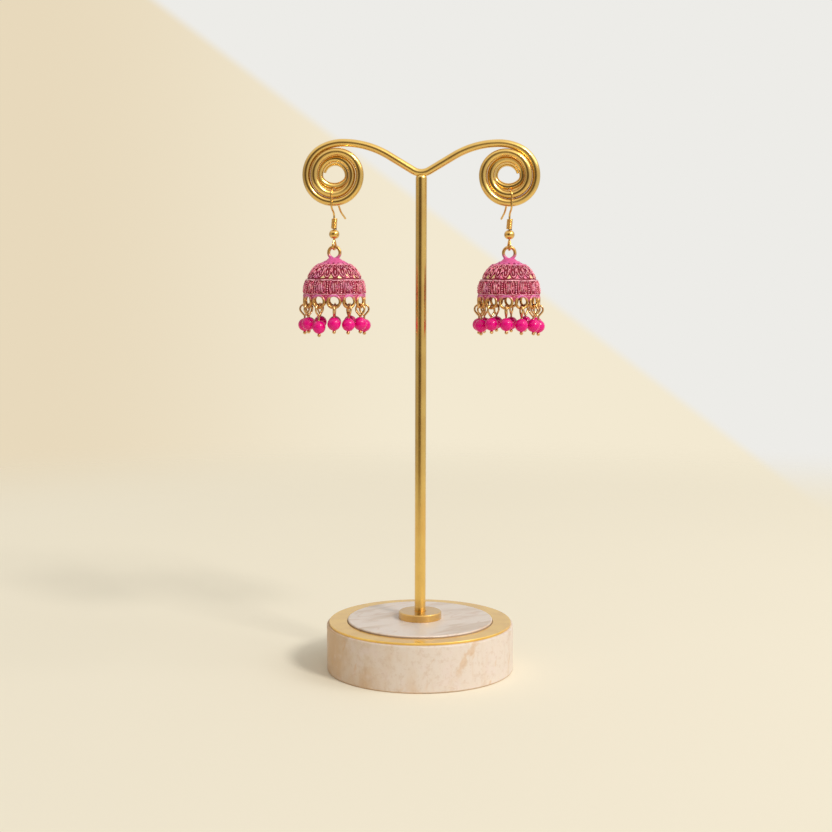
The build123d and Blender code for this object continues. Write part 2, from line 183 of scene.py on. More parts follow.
# ---- shader formulas ----
class Term:
    """A number, colour or vector in a material, so that a pattern is written as a formula."""

    def __init__(self, finish, socket, kind="number"):
        self.finish, self.socket, self.kind = finish, socket, kind

    def _sum(self, operation, left, right):
        if self.kind == "number":
            made = self.finish.node("ShaderNodeMath", {"operation": operation}, {0: left, 1: right})
        else:
            made = self.finish.node("ShaderNodeVectorMath", {"operation": operation}, {0: left, 1: right})
        return Term(self.finish, made.outputs[0], self.kind)

    def __add__(self, other):
        return self._sum("ADD", self, other)

    def __radd__(self, other):
        return self._sum("ADD", other, self)

    def __sub__(self, other):
        return self._sum("SUBTRACT", self, other)

    def __rsub__(self, other):
        return self._sum("SUBTRACT", other, self)

    def __mul__(self, other):
        return self._sum("MULTIPLY", self, other)

    def __rmul__(self, other):
        return self._sum("MULTIPLY", other, self)

    def __pow__(self, other):
        return self._sum("POWER", self, other)

    def lowest(self, other):
        return self._sum("MINIMUM", self, other)

    def highest(self, other):
        return self._sum("MAXIMUM", self, other)

    def facing(self, direction):
        """How nearly a direction points the same way as another one."""
        way = Vector(direction).normalized()
        made = self.finish.node("ShaderNodeVectorMath", {"operation": "DOT_PRODUCT"}, {0: self, 1: way})
        return Term(self.finish, made.outputs["Value"])

    def away_from(self, middle):
        """How far the number is from a middle value."""
        apart = self - middle
        made = self.finish.node("ShaderNodeMath", {"operation": "ABSOLUTE"}, {0: apart})
        return Term(self.finish, made.outputs[0])

    def step(self, low, high):
        """0 below low and 1 above high, with a soft step between. High may be the smaller one."""
        made = self.finish.node(
            "ShaderNodeMapRange", {"interpolation_type": "SMOOTHSTEP"},
            {"Value": self, "From Min": low, "From Max": high, "To Min": 0.0, "To Max": 1.0},
        )
        return Term(self.finish, made.outputs["Result"])


class Finish:
    """One tree of shader nodes."""

    def __init__(self, tree):
        self.tree = tree
        tree.nodes.clear()

    def node(self, kind, settings=None, inputs=None):
        """Any node: its settings first, then the values and links of its sockets."""
        made = self.tree.nodes.new(kind)
        for name, value in (settings or {}).items():
            setattr(made, name, value)
        for name, value in (inputs or {}).items():
            socket = made.inputs[name]
            if isinstance(value, Term):
                self.tree.links.new(value.socket, socket)
            elif socket.type == "RGBA" and len(value) == 3:
                socket.default_value = (*value, 1.0)
            else:
                socket.default_value = value
        return made

    def point(self):
        """Place on the object, in millimetres."""
        place = Term(self, self.node("ShaderNodeTexCoord").outputs["Object"])
        made = self.node("ShaderNodeVectorMath", {"operation": "SCALE"}, {0: place, "Scale": 1 / MM})
        return Term(self, made.outputs[0], "vector")

    def parts(self, vector):
        """The vector's three numbers."""
        made = self.node("ShaderNodeSeparateXYZ", None, {0: vector})
        return [Term(self, out) for out in made.outputs]

    def mark(self, name):
        """A value that the mesh carries at its points."""
        made = self.node("ShaderNodeAttribute", {"attribute_type": "GEOMETRY", "attribute_name": name})
        return Term(self, made.outputs["Fac"])

    def drawn(self, vector, turn=(0, 0, 0), out=(1, 1, 1)):
        """Turns a pattern, in degrees, and draws it out along its own axes."""
        made = self.node(
            "ShaderNodeMapping", {"vector_type": "TEXTURE"},
            {"Vector": vector, "Rotation": [radians(a) for a in turn], "Scale": out},
        )
        return Term(self, made.outputs[0], "vector")

    def cloud(self, vector, size, detail=3.0, rough=0.5, warp=0.0):
        """Noise from 0 to 1 whose blots are about size millimetres across."""
        made = self.node(
            "ShaderNodeTexNoise", {"noise_dimensions": "3D"},
            {"Vector": vector, "Scale": 1 / size, "Detail": detail, "Roughness": rough, "Distortion": warp},
        )
        return Term(self, made.outputs["Fac"])

    def blend(self, first, second, share):
        """A colour between two, by a share from 0 to 1."""
        made = self.node("ShaderNodeMix", {"data_type": "RGBA"}, {0: share, 6: first, 7: second})
        return Term(self, made.outputs[2], "colour")

    def bump(self, height, depth, strength=1.0):
        """Normal of a height from 0 to 1 that stands for a depth in millimetres."""
        inputs = {"Height": height, "Strength": strength, "Distance": depth * MM}
        return Term(self, self.node("ShaderNodeBump", None, inputs).outputs[0], "vector")

    def close(self, shader):
        """Gives the material its surface."""
        self.node("ShaderNodeOutputMaterial", None, {"Surface": Term(self, shader.outputs[0])})


def finish_for(name):
    """A new material and the tree that its finish is written in."""
    material = bpy.data.materials.new(name)
    material.use_nodes = True
    return material, Finish(material.node_tree)


def colours():
    return bpy.context.scene.jewel_colours


def sizes():
    return bpy.context.scene.jewel_sizes


def gold(name, tone, rough, grain, depth, tarnish=0.0, brush=1.0):
    """Gold plate with fine grain. Tarnish browns it in patches, and brush draws out its grain along Z."""
    material, f = finish_for(name)
    place = f.point()
    slow = f.cloud(place, 7.0, 2.0)
    fine = f.cloud(f.drawn(place, out=(1, 1, brush)), grain, 2.0, 0.6)
    dark = tuple(c * k for c, k in zip(tone, (0.92, 0.86, 0.74)))
    brown = tuple(c * k for c, k in zip(tone, (0.55, 0.42, 0.3)))
    body = f.blend(dark, tone, slow.step(0.35, 0.65))
    if tarnish:
        body = f.blend(body, brown, f.cloud(place, 1.4, 3.0).step(0.5, 0.75) * tarnish)
    shader = f.node(
        "ShaderNodeBsdfPrincipled", None,
        {
            "Base Color": body,
            "Metallic": 1.0,
            "Roughness": rough + (fine - 0.5) * 0.12 + (slow - 0.5) * 0.06,
            "Coat Weight": 0.9,
            "Coat IOR": 1.85,
            "Coat Roughness": 0.14,
            "Normal": f.bump(fine, depth),
        },
    )
    f.close(shader)
    return material


def marble_finish():
    """Honed cream marble: tan patches, upright streaks, slanting veins, crystals and a polished top, with
    painted shade on the left side, along the lower edge and above the ring.
    """
    c = colours()
    material, f = finish_for("cream_marble")
    place = f.point()
    x, y, z = f.parts(place)
    top = z.step(SHOULDER_Z + 0.2, SHOULDER_Z + 0.8)

    # tan patches, which spread towards the left as painted shade, upright streaks and clouds
    cloud = f.cloud(f.drawn(place, turn=(0, 0, 20), out=(1, 1, 2)), 10.0, 4.0, 0.55, 0.4)
    # painted shade: the tan patches spread further over the left side, darkening it
    body = f.blend(tuple(c.marble), tuple(c.marble_tan_and_shade), (cloud - x * 0.013).step(0.45, 0.95))
    streak = f.cloud(f.drawn(place, out=(1, 1, 8)), 2.4, 3.0, 0.6, 0.3)
    body = f.blend(body, tuple(c.marble_tan_and_shade), streak.step(0.5, 0.78) * 0.3)
    body = f.blend(body, tuple(c.marble_cloud), f.cloud(place, 5.0, 3.0, 0.6).step(0.5, 0.7) * 0.5)

    # slanting veins, a seam in front, and painted contact shade of their colour along the lower edge
    slant = f.drawn(place, turn=(0, 36, 0), out=(1, 1, 7))
    line = f.cloud(slant, 2.2, 3.0, 0.6).step(0.56, 0.7)
    spot = f.cloud(f.drawn(place, turn=(0, 36, 0), out=(1, 1, 2)), 7.0, 1.0).step(0.47, 0.6)
    body = f.blend(body, tuple(c.vein), line * spot * 0.4)
    wander = f.cloud(place, 3.0, 3.0, 0.6)
    seam = (x - z * 0.55 - 8.6 + (wander - 0.5) * 6.0).away_from(0.0).step(1.5, 0.1) * y.step(-18, -22)
    body = f.blend(body, tuple(c.vein), seam * z.step(2.0, 8.0) * 0.42)
    # painted shade: a line of the veins' colour along the lower edge, where the foot meets the floor
    body = f.blend(body, tuple(c.vein), z.step(0.6, 0.2) * 0.6)

    # polished top, with painted shade on its side just above the ring
    along = f.drawn(place, turn=(0, 0, 32), out=(4, 1, 1))
    grain = f.cloud(along, 5.5, 3.0, 0.5, 0.5)
    cool = f.blend(tuple(c.marble_top), tuple(c.marble_grain), grain.step(0.46, 0.7) * 0.75)
    thread = f.cloud(along, 6.0, 2.0, 0.5, 0.4).away_from(0.54).step(0.025, 0.0)
    cool = f.blend(cool, tuple(c.marble_thread), thread * 0.3)
    # painted shade: brown on the raised top's side, just above the ring
    rim = (x * x + y * y).step((PLATEAU_R - 0.4) ** 2, (PLATEAU_R - 0.1) ** 2)
    cool = f.blend(cool, tuple(c.marble_seat_shade), rim * z.step(PLATEAU_Z - 0.25, PLATEAU_Z - 0.55) * 0.65)
    body = f.blend(body, cool, top)

    # crystals
    speck = f.cloud(place, 0.7, 2.0, 0.7)
    mottle = f.cloud(place, 1.8, 2.0, 0.6)
    specked = (speck * 0.4 + mottle * 0.6).step(0.48, 0.66) * (0.34 - top * 0.26)
    body = f.blend(body, tuple(c.marble_speck), specked)
    shader = f.node(
        "ShaderNodeBsdfPrincipled", None,
        {
            "Base Color": body,
            "Roughness": 0.52 - top * 0.22 + (speck - 0.5) * (0.12 - top * 0.12),
            "Subsurface Weight": 0.1,
            "Subsurface Radius": (1.0, 0.75, 0.5),
            "Subsurface Scale": 1.0 * MM,
            "Normal": f.bump(speck * (1.0 - top), 0.02, 0.5),
        },
    )
    f.close(shader)
    return material


def enamel_finish():
    """Thin rose enamel over cast brass: wine in the hollows, darkened there as painted shade, and pale and
    gilt on the tops, where the pale is both wear and a painted highlight.
    """
    c = colours()
    material, f = finish_for("pink_enamel")
    place = f.point()
    _, _, z = f.parts(place)
    relief = f.mark("relief")
    gilt = f.mark("gilt")
    blot = f.cloud(place, 1.0, 3.0, 0.6)
    patch = f.cloud(place, 2.4, 2.0)
    fleck = f.cloud(place, 0.35, 2.0, 0.7)

    # rose, with coral and magenta patches; the neck and the rim are smooth and magenta
    pink = f.blend(tuple(c.enamel), tuple(c.enamel_coral), (blot * 0.5 + patch * 0.5).step(0.5, 0.6))
    pink = f.blend(pink, tuple(c.enamel_magenta), patch.step(0.48, 0.36) * 0.8)
    smooth = (z + fleck * 0.6).step(129.6, 130.4).highest((z - fleck * 0.3).step(120.5, 120.1) * 0.55)
    pink = f.blend(pink, tuple(c.enamel_magenta), smooth * (0.85 - fleck * 0.3))

    # pale tops that are both wear and a painted highlight, deep hollows darkened as painted shade, and a
    # pepper of pale and deep grains
    # painted highlight: pale on the highest parts of the relief, mixed with wear
    wear_and_sheen = relief.step(0.64, 0.92) * (fleck * 0.5 + blot * 0.5).step(0.34, 0.5) * (1.0 - smooth * 0.6)
    pepper = f.cloud(place, 0.5, 3.0, 0.8)
    wear_and_sheen = wear_and_sheen.highest(pepper.step(0.5, 0.6) * relief.step(0.2, 0.5) * (1.0 - smooth) * 0.8)
    pink = f.blend(pink, tuple(c.enamel_wear_and_sheen), wear_and_sheen)
    # painted shade: the hollows take the deep wine, the tops the pink
    body = f.blend(tuple(c.enamel_wine_and_shade), pink, relief.step(0.08, 0.56))
    body = f.blend(body, tuple(c.enamel_wine_and_shade), pepper.step(0.5, 0.4) * (1.0 - smooth) * 0.75)

    # bare metal
    bare = (gilt * patch.step(0.5, 0.53) + wear_and_sheen * blot.step(0.56, 0.68) * 0.6).lowest(1.0)
    body = f.blend(body, tuple(c.gilt), bare)
    shader = f.node(
        "ShaderNodeBsdfPrincipled", None,
        {
            "Base Color": body,
            "Metallic": bare * 0.3,
            "Roughness": 0.44 - wear_and_sheen * 0.1 + (fleck - 0.5) * 0.15,
            "Specular IOR Level": 0.3,
            "Coat Weight": 0.08,
            "Coat Roughness": 0.25,
            "Normal": f.bump(fleck * 0.6 + blot * 0.4, 0.06, 0.7),
        },
    )
    f.close(shader)
    return material


def cast_finish():
    """Cast gold of rings and bail, brown in patches, with pink where the bell's enamel ran onto it."""
    c = colours()
    material, f = finish_for("cast_gold")
    place = f.point()
    _, _, z = f.parts(place)
    blot = f.cloud(place, 0.9, 3.0, 0.6)
    fleck = f.cloud(place, 0.3, 2.0, 0.7)
    tone = tuple(c.cast_gold)
    brown = tuple(k * m for k, m in zip(tone, (0.5, 0.34, 0.24)))
    body = f.blend(tone, brown, blot.step(0.4, 0.66) * 0.65)
    bail = z.step(130.0, 130.1)
    run = (z + blot * 1.6).step(119.6, 121.0) * (1.0 - bail)
    foot = (z - blot * 1.8).step(132.6, 131.0) * bail
    over = run.highest(foot)
    body = f.blend(body, tuple(c.enamel_magenta), over)
    shader = f.node(
        "ShaderNodeBsdfPrincipled", None,
        {
            "Base Color": body,
            "Metallic": 1.0 - over,
            "Roughness": 0.34 + over * 0.1 + (fleck - 0.5) * 0.12,
            "Normal": f.bump(fleck * 0.5 + blot * 0.5, 0.05, 0.6),
        },
    )
    f.close(shader)
    return material


def bead_finish():
    """Hot pink glass-like paste: a glossy skin over a slightly cloudy body."""
    c = colours()
    material, f = finish_for("pink_bead")
    place = f.point()
    blot = f.cloud(place, 1.6, 2.0)
    fine = f.cloud(place, 0.5, 2.0, 0.6)
    body = f.blend(tuple(c.bead), tuple(c.bead_cloud), blot.step(0.45, 0.7) * 0.7)
    body = f.blend(body, tuple(c.bead_grain), fine.step(0.56, 0.8) * 0.12)
    shader = f.node(
        "ShaderNodeBsdfPrincipled", None,
        {
            "Base Color": body,
            "Roughness": 0.13 + blot * 0.08,
            "Specular IOR Level": 0.35,
            "Subsurface Weight": 0.15,
            "Subsurface Radius": (1.0, 0.3, 0.5),
            "Subsurface Scale": 0.8 * MM,
            "Normal": f.bump(blot, 0.05, 0.5),
        },
    )
    f.close(shader)
    return material


# ---- mesh helpers; a mesh is made in millimetres and scaled once it is whole ----
def once(items):
    """The items in their order, each once. The order of a set would differ from run to run."""
    return list(dict.fromkeys(items))


def wire_ring(bm, ring_radius, wire_radius, steps, sides, matrix=Matrix.Identity(4)):
    """A ring of round wire in the XY plane; its points are returned."""
    start = Matrix.Translation((ring_radius, 0, 0)) @ Matrix.Rotation(pi / 2, 4, "X")
    made = bmesh.ops.create_circle(bm, cap_ends=False, radius=wire_radius, segments=sides, matrix=start)
    verts = made["verts"]
    edges = once(e for v in verts for e in v.link_edges)
    before = set(bm.verts) - set(verts)
    bmesh.ops.spin(
        bm, geom=verts + edges, cent=(0, 0, 0), axis=UP, dvec=(0, 0, 0), angle=2 * pi, steps=steps,
        use_merge=True, use_duplicate=False,
    )
    new = [v for v in bm.verts if v not in before]
    bmesh.ops.transform(bm, matrix=matrix, verts=new)
    return new


def spun(bm, profile, steps):
    """A profile in the XZ plane turned round the Z axis, and closed where it starts and ends on it."""
    verts = [bm.verts.new(p) for p in profile]
    edges = [bm.edges.new(pair) for pair in zip(verts, verts[1:])]
    bmesh.ops.spin(
        bm, geom=verts + edges, cent=(0, 0, 0), axis=UP, dvec=(0, 0, 0), angle=2 * pi, steps=steps,
        use_merge=True, use_duplicate=False,
    )
    bmesh.ops.remove_doubles(bm, verts=bm.verts[:], dist=1e-4)


def arc(middle, radius, start, end, steps):
    """Points of an arc in the XZ plane; angles are from +X, in degrees."""
    return [
        Vector((
            middle[0] + radius * cos(radians(start + (end - start) * k / steps)), 0,
            middle[1] + radius * sin(radians(start + (end - start) * k / steps)),
        ))
        for k in range(steps + 1)
    ]


def shaped_ring(bm, centreline, wire_radius, steps, sides):
    """A wire ring whose centreline is given for each direction as seen from its middle."""
    verts = wire_ring(bm, 1.0, wire_radius, steps, sides)
    for v in verts:
        out = Vector((v.co.x, v.co.y, 0)).normalized()
        v.co = centreline(out) + v.co - out
    return verts


def grain_bead(bm, x, y, z, wide, tall, high, rings=5):
    """A small rounded grain or bar at a place on the flat pattern."""
    place = Matrix.Translation((x, y, z)) @ Matrix.Diagonal((wide / 2, tall / 2, high, 1))
    return bmesh.ops.create_uvsphere(bm, u_segments=6, v_segments=rings, radius=1, matrix=place)["verts"]


def repeat_round(bm, count):
    """Copies what the mesh holds round the Z axis."""
    bmesh.ops.spin(
        bm, geom=bm.verts[:] + bm.edges[:] + bm.faces[:], cent=(0, 0, 0), axis=UP, dvec=(0, 0, 0),
        angle=2 * pi * (count - 1) / count, steps=count - 1, use_merge=False, use_duplicate=True,
    )


def cast_unevenly(verts, waves, stray):
    """Strays points a little, by noise that has about so many waves a millimetre."""
    noise.seed_set(CAST_SEED)
    for v in verts:
        v.co += noise.noise_vector(v.co * waves) * stray


def finished(name, bm, materials, body, smooth_angle=40):
    """Turns a mesh in millimetres into a piece that rides on a body."""
    bmesh.ops.scale(bm, vec=(MM, MM, MM), verts=bm.verts[:])
    bmesh.ops.recalc_face_normals(bm, faces=bm.faces[:])
    mesh = bpy.data.meshes.new(name)
    bm.to_mesh(mesh)
    bm.free()
    for material in materials:
        mesh.materials.append(material)
    mesh.shade_smooth()
    mesh.set_sharp_from_angle(angle=radians(smooth_angle))
    piece = bpy.data.objects.new(name, mesh)
    bpy.context.scene.collection.objects.link(piece)
    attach(piece, body)
    return piece


def hang_x(side):
    """Where an earring hangs in X, in millimetres."""
    low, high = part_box(f"{side}_hook_ball")
    return (low.x + high.x) / 2 / MM


def hung(side, turn):
    """Where an earring's own axes stand in the frame, in millimetres."""
    return Matrix.Translation((hang_x(side), 0, 0)) @ Matrix.Rotation(radians(turn), 4, "Z")


# ---- the stand's bent rod ----
class Rod:
    """A round rod that goes on from its end in straight lines and bends."""

    def __init__(self, bm, place, heading, thickness, sides):
        self.bm, self.place, self.heading = bm, place, heading
        turn = UP.rotation_difference(heading).to_matrix().to_4x4()
        made = bmesh.ops.create_circle(
            bm, cap_ends=False, radius=thickness / 2, segments=sides, matrix=Matrix.Translation(place) @ turn
        )
        self.end = made["verts"] + once(e for v in made["verts"] for e in v.link_edges)

    def _go_on(self, middle, normal, turn, step, steps):
        made = bmesh.ops.spin(
            self.bm, geom=self.end, cent=middle, axis=normal, dvec=step, angle=radians(turn), steps=steps,
            use_merge=False, use_duplicate=False,
        )
        self.end = made["geom_last"]

    def straight(self, reach):
        self._go_on(self.place, self.heading, 0, self.heading * reach, 1)
        self.place = self.place + self.heading * reach

    def bend(self, normal, radius, turn):
        """Goes round the normal by some degrees, to the left if they are positive."""
        middle = self.place + normal.cross(self.heading) * (radius if turn > 0 else -radius)
        self._go_on(middle, normal, turn, Vector(), ceil(abs(turn) / BEND_STEP))
        spin = Matrix.Rotation(radians(turn), 3, normal)
        self.place = middle + spin @ (self.place - middle)
        self.heading = spin @ self.heading


def oval_radii(wide, tall, split=45.0):
    """Radii of a quarter oval's two arcs: the flat one, that turns by split, then the one at its side."""
    s, c = sin(radians(split)), cos(radians(split))
    return (wide * c - tall * (1 - s)) / (s + c - 1), (tall * s - wide * (1 - c)) / (s + c - 1)


def stand_rods():
    """The post and the rod soldered over it, bent to an arm and a scroll on either side."""
    slope, front = radians(ARM_SLOPE), Vector((0, -1, 0))
    valley_z = PEAK_Z - ARM_STRAIGHT * sin(slope) - (VALLEY_R + ARM_R) * (1 - cos(slope))
    arm_reach = ARM_STRAIGHT * cos(slope) + (VALLEY_R + ARM_R) * sin(slope)
    crown_r, crown_side_r = oval_radii(EYE_X + OUTER_TURN_R - arm_reach, PEAK_Z - EYE_Z, CROWN_SPLIT)
    bm = bmesh.new()
    rod = Rod(bm, Vector((0, 0, valley_z)), Vector((1, 0, 0)), ROD_D, ROD_SIDES)
    rod.bend(front, VALLEY_R, ARM_SLOPE)
    rod.straight(ARM_STRAIGHT)
    rod.bend(front, ARM_R, -ARM_SLOPE)
    rod.bend(front, crown_r, -CROWN_SPLIT)
    rod.bend(front, crown_side_r, CROWN_SPLIT - 90)
    for across, back, share, last in SCROLL:
        normal = Vector((back, -across, 0)).normalized() * (1 if across > 0 else -1)
        half = hypot(across, back) / 2
        flat_r, side_r = oval_radii(half, half * share)
        for radius, turn in ((side_r, 45), (flat_r, 45), (flat_r, 45), (side_r, last)):
            rod.bend(normal, radius, -turn)
    tip = [g for g in rod.end if isinstance(g, bmesh.types.BMEdge)]
    bmesh.ops.edgeloop_fill(bm, edges=tip)
    bmesh.ops.bevel(
        bm, geom=tip, offset=TIP_BEVEL, offset_type="OFFSET", segments=3, profile=0.5, affect="EDGES",
        material=-1,
    )
    bmesh.ops.mirror(
        bm, geom=bm.verts[:] + bm.edges[:] + bm.faces[:], matrix=Matrix.Identity(4), merge_dist=1e-3, axis="X"
    )
    post_top = valley_z - ROD_D / 6
    profile = [Vector((0, 0, POST_FOOT)), Vector((POST_D / 2, 0, POST_FOOT))]
    profile += arc((POST_D / 2 - SOLDER_R, post_top - SOLDER_R), SOLDER_R, 0, 90, 6)
    profile.append(Vector((0, 0, post_top)))
    spun(bm, profile, POST_SIDES)
    return bm


# ---- the bell's two curved skins: a flat pattern is laid on each ----
def on_cap(turn, across, up, high):
    """A point on the cap: across at its foot's width, up its skin, and above it."""
    polar = radians(CAP_FOOT_POLAR) - up / CAP_R
    angle = radians(turn) + across / CAP_FOOT_R
    reach = CAP_R + high
    radius, z = reach * sin(polar), CAP_Z + reach * cos(polar)
    return Vector((radius * cos(angle), radius * sin(angle), z))


def on_band(turn, across, up, high):
    """The same on the band: up from the rim's top edge."""
    angle = radians(turn) + across / BAND_R
    straight = BAND_STRAIGHT - RIM_Z
    if up <= straight:
        radius, z = BAND_R + high, RIM_Z + up
    else:
        swing = (up - straight) / BARREL_R
        radius = BARREL_MID + (BARREL_R + high) * cos(swing)
        z = BAND_STRAIGHT + (BARREL_R + high) * sin(swing)
    return Vector((radius * cos(angle), radius * sin(angle), z))


def pattern_mesh():
    """An empty mesh whose points can carry how high they stand and how gilt they are."""
    bm = bmesh.new()
    for name in ("relief", "gilt"):
        bm.verts.layers.float.new(name)
    return bm


def lay_on(bm, skin, relief_height):
    """Bends a flat pattern onto a skin, and marks how high each point stands."""
    relief = bm.verts.layers.float["relief"]
    for v in bm.verts:
        v[relief] = min(1.0, max(0.0, v.co.z / relief_height))
        v.co = skin(0.0, v.co.x, v.co.y, v.co.z)


def petal_pattern(count):
    """One petal of the cap with what lies beside it, flat: X across, Y up, Z high."""
    s = sizes()
    wire = s.ridge / MM / 2
    half = pi * CAP_FOOT_R / count
    bm = pattern_mesh()
    mid, wide, tall, pinch = 3.0, 1.45 * half, 4.9, 0.1
    shaped_ring(
        bm, lambda d: Vector((d.x * wide / 2 * (1 - pinch * d.y), mid + d.y * tall / 2, 0.1)),
        wire * 1.05, 22, 6,
    )

    # two grains in the petal and two beside it: where they lie across and up, how wide, how tall, how high
    grains = (
        (0, 2.1, 0.5, 1.7, 0.3), (0, 3.9, 0.5, 1.1, 0.28),
        (half, 3.1, 0.46, 1.9, 0.28), (half, 4.85, 0.56, 0.8, 0.28),
    )
    for x, y, grain_wide, grain_tall, high in grains:
        grain_bead(bm, x, y, 0.06, grain_wide, grain_tall, high)

    # a gilt triangle between two petals
    tip = [bm.verts.new(p) for p in ((half - 0.72, 0.1, -0.1), (half + 0.72, 0.1, -0.1), (half, 1.4, -0.1))]
    shine = bm.verts.layers.float["gilt"]
    for v in tip:
        v[shine] = 1.0
    raised = bmesh.ops.extrude_face_region(bm, geom=[bm.faces.new(tip)])["geom"]
    bmesh.ops.translate(bm, vec=(0, 0, 0.3), verts=[g for g in raised if isinstance(g, bmesh.types.BMVert)])
    lay_on(bm, on_cap, s.relief / MM)
    repeat_round(bm, count)
    return bm


def panel_pattern(count):
    """One panel of the band, flat: a string of grains, an open loop, two bars and a loop with a grain."""
    s = sizes()
    wire = s.ridge / MM / 2
    pitch = 2 * pi * BAND_R / count / 4
    bm = pattern_mesh()
    low, high = 0.95, 4.85
    mid, tall = (low + high) / 2, high - low
    for k in range(6):
        grain_bead(bm, -1.5 * pitch, low + 0.3 + k * (tall - 0.6) / 5, 0.05, 0.56, 0.56, 0.3)
    for column, lean in ((-0.5, 0.25), (1.5, -0.3)):
        shaped_ring(
            bm,
            lambda d, c=column, lean=lean: Vector(
                (c * pitch + d.x * 0.34 * pitch + lean * d.x * d.y * 0.3, mid + d.y * tall / 2 * 0.96, 0.1)
            ),
            wire * 0.9, 20, 6,
        )
    for place in (0.24, 0.76):
        grain_bead(bm, place * pitch, mid, 0.05, 0.36, tall, 0.3, rings=8)
    grain_bead(bm, 1.5 * pitch, mid - 0.2, 0.05, 0.34, 1.6, 0.25)
    lay_on(bm, on_band, s.relief / MM)
    repeat_round(bm, count)
    return bm


def bell_shell():
    """The bell's wall, from its inner crown round the rim to the neck, spun and pierced."""
    swing = degrees(atan2(BAND_TOP - BAND_STRAIGHT, STEP_R - BARREL_MID))
    inner = CAP_R - WALL
    brow_r = STEP_R - WALL
    brow = degrees(acos(brow_r / inner))
    profile = arc((0, CAP_Z), inner, 90, brow, 14)
    profile += [Vector((BAND_R - WALL, 0, BAND_STRAIGHT)), Vector((BAND_R - WALL, 0, RIM_Z))]
    profile += [Vector((BAND_R - 0.1, 0, RIM_Z)), Vector((BAND_R, 0, RIM_Z + 0.1))]
    profile += arc((BARREL_MID, BAND_STRAIGHT), BARREL_R, 0, swing, 8)
    profile += arc((0, CAP_Z), CAP_R, 90 - CAP_FOOT_POLAR, 90 - NECK_POLAR, 16)
    profile += [Vector((NECK_R, 0, NECK_Z)), Vector((NECK_R - 0.4, 0, NECK_Z + 0.12))]
    profile.append(Vector((0, 0, NECK_Z + 0.12)))
    bm = bmesh.new()
    spun(bm, profile, BELL_STEPS)
    bmesh.ops.recalc_face_normals(bm, faces=bm.faces[:])
    shell = bpy.data.meshes.new("shell")
    bm.to_mesh(shell)
    bm.clear()
    for k in range(HOLES):
        out = Matrix.Rotation(radians(360 * (k + 0.5) / HOLES), 4, "Z") @ Matrix.Rotation(
            radians(HOLE_POLAR), 4, "Y"
        )
        place = Matrix.Translation((0, 0, CAP_Z)) @ out @ Matrix.Translation((0, 0, CAP_R))
        bmesh.ops.create_cone(
            bm, cap_ends=True, segments=12, radius1=HOLE_D / 2, radius2=HOLE_D / 2, depth=4 * WALL,
            matrix=place,
        )
    drills = bpy.data.meshes.new("drills")
    bm.to_mesh(drills)
    bm.free()
    return pierced(shell, drills)


def pierced(shell, drills):
    """The shell with the drills cut out of it, as a new mesh to work on."""
    body = bpy.data.objects.new("shell", shell)
    cutter = bpy.data.objects.new("drills", drills)
    for item in (body, cutter):
        bpy.context.scene.collection.objects.link(item)
    cut = body.modifiers.new("holes", "BOOLEAN")
    cut.operation = "DIFFERENCE"
    cut.solver = "EXACT"
    cut.object = cutter
    evaluated = body.evaluated_get(bpy.context.evaluated_depsgraph_get())
    bm = bmesh.new()
    bm.from_mesh(evaluated.to_mesh())
    evaluated.to_mesh_clear()
    for item in (body, cutter):
        bpy.data.objects.remove(item)
    if not bm.faces:
        raise RuntimeError("the bell's holes could not be cut")
    return bm


def mark_shell(bm):
    """Smooth parts of the shell are enamelled as if they were relief; the ornament's ground and the inside
    are deep, the inside as painted shade.
    """
    relief = bm.verts.layers.float.new("relief")
    bm.verts.layers.float.new("gilt")
    neck_z = CAP_Z + CAP_R * cos(radians(LOWER_RAIL_POLAR))
    for v in bm.verts:
        if v.co.z < BAND_TOP:
            outside = v.co.xy.length > BAND_R - 0.45
        else:
            outside = (v.co - UP * CAP_Z).length > CAP_R - 0.3
        high = 0.66 if v.co.z > neck_z else 0.42 if v.co.z < RIM_Z + 0.75 else 0.0
        # painted shade: the inside keeps no relief, so it takes the dark wine
        v[relief] = high if outside else 0.0


def rails(bm):
    """Raised rings round the bell: above the rim, on the step and under the neck."""
    relief = bm.verts.layers.float["relief"]
    ridge = sizes().ridge / MM / 2
    lower, upper = radians(LOWER_RAIL_POLAR), radians(UPPER_RAIL_POLAR)

    # radius, height, thickness as a share of the ridge's, and how high it counts as relief
    rows = (
        (BAND_R + 0.02, RIM_Z + 0.72, 0.8, 0.9),
        (BAND_R - 0.1, RIM_Z + 0.08, 1.0, 0.95),
        (STEP_R + 0.14, BAND_TOP - 0.12, 1.35, 1.0),
        (CAP_R * sin(lower), CAP_Z + CAP_R * cos(lower), 1.1, 1.0),
        (CAP_R * sin(upper), CAP_Z + CAP_R * cos(upper), 0.7, 0.75),
    )
    for radius, z, thick, mark in rows:
        for v in wire_ring(bm, radius, ridge * thick, 120, 6, Matrix.Translation((0, 0, z))):
            v[relief] = mark


def webs(bm):
    """The small triangles of metal that hang between the cast rings."""
    relief = bm.verts.layers.float["relief"]
    for k in range(SECTORS):
        tip = [bm.verts.new(p) for p in ((-WEB_W / 2, 0, 0.12), (WEB_W / 2, 0, 0.12), (0, 0, -WEB_H))]
        face = bm.faces.new(tip)
        raised = bmesh.ops.extrude_face_region(bm, geom=[face])["geom"]
        back = [g for g in raised if isinstance(g, bmesh.types.BMVert)]
        for v in tip:
            v.co.y -= WEB_T / 2
        for v in back:
            v.co.y += WEB_T / 2
        rims = once(e for v in tip + back for e in v.link_edges)
        bevelled = bmesh.ops.bevel(
            bm, geom=rims, offset=WEB_BEVEL, offset_type="OFFSET", segments=2, profile=0.5, affect="EDGES",
            material=-1,
        )
        verts = bevelled["verts"]
        place = Matrix.Rotation(radians(-90 + 360 * k / SECTORS), 4, "Z") @ Matrix.Translation(
            (RING_R, 0, RIM_Z + 0.15)
        ) @ Matrix.Rotation(pi / 2, 4, "Z")
        bmesh.ops.transform(bm, matrix=place, verts=verts)
        for v in verts:
            v[relief] = 0.3


